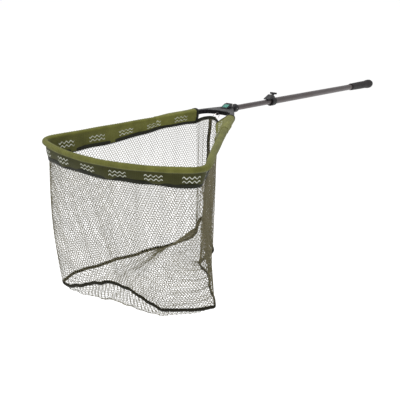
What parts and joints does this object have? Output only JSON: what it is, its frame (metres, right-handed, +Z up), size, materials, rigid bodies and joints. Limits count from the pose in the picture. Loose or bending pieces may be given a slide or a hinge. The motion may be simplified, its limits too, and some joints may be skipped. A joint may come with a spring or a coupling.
{
  "type": "landing net",
  "caption": "Fishing landing net with a telescopic handle, a hub that folds over on a push button, and a deep netting bag on a rounded triangular rim.",
  "frame": {"origin": "centre of the flat end face of the butt cap", "axes": "+X from the butt towards the head, level with the rim's plane; +Y to the left; +Z up, out of the bag's mouth. The handle rises towards the head at 6.75 degrees"},
  "size_m": [1.7489, 0.4728, 0.4169],
  "materials": {
    "tube_aluminium": "anodised gun-metal grey, satin",
    "grip_rubber": "matt black",
    "black_plastic": "moulded, fine texture",
    "teal_plastic": "semi-gloss teal green",
    "pale_nylon": "natural nylon",
    "steel": "plain",
    "bright_steel": "polished wire",
    "rod_aluminium": "mill",
    "olive_sleeve": "olive woven fabric",
    "seam_tape": "dark olive tape",
    "netting": "khaki rubber-coated mesh"
  },
  "bodies": {
    "handle": {"outer_tube": "tube_aluminium", "butt_grip": "grip_rubber", "butt_cap": "grip_rubber", "clamp_body": "black_plastic", "clamp_pin": "steel", "brake_shoe": "pale_nylon"},
    "lever": {"clamp_lever": "black_plastic"},
    "inner_section": {"inner_tube": "tube_aluminium", "inner_tube_plug": "pale_nylon", "socket_pin": "steel", "joint_socket": "black_plastic"},
    "head": {"yoke": "black_plastic", "hinge_pin": "steel", "hub_cover": "black_plastic", "cover_screw_1": "steel", "cover_screw_2": "steel", "cover_screw_3": "steel", "button_spring": "steel", "net_ring": "bright_steel", "rim_rod": "rod_aluminium", "rim_pin_right": "steel", "rim_pin_left": "steel", "rim_sleeve": "olive_sleeve", "sleeve_end_right": "olive_sleeve", "sleeve_end_left": "olive_sleeve", "net_wall": "netting", "net_floor": "netting", "floor_seam_tape": "seam_tape", "back_edge_binding": "seam_tape", "back_seam_tape": "seam_tape"},
    "button": {"release_button": "teal_plastic"}
  },
  "joints": [
    {"name": "lever_swing", "type": "hinge", "parent": "handle", "child": "lever", "pos_m": [0.87119, 0, 0.11781], "axis": [0, -1, 0], "range_deg": [0, 38]},
    {"name": "handle_extend", "type": "slide", "parent": "handle", "child": "inner_section", "axis": [0.9931, 0, 0.1175], "range_m": [-0.185, 0.5]},
    {"name": "head_fold", "type": "hinge", "parent": "inner_section", "child": "head", "pos_m": [1.14003, 0, 0.14832], "axis": [0, -1, 0], "range_deg": [0, 185]},
    {"name": "button_press", "type": "slide", "parent": "head", "child": "button", "axis": [0, 0, -1], "range_m": [0, 0.003], "stiffness_N_per_m": 800, "springref_m": -0.003, "deforming": ["button_spring"]}
  ]
}
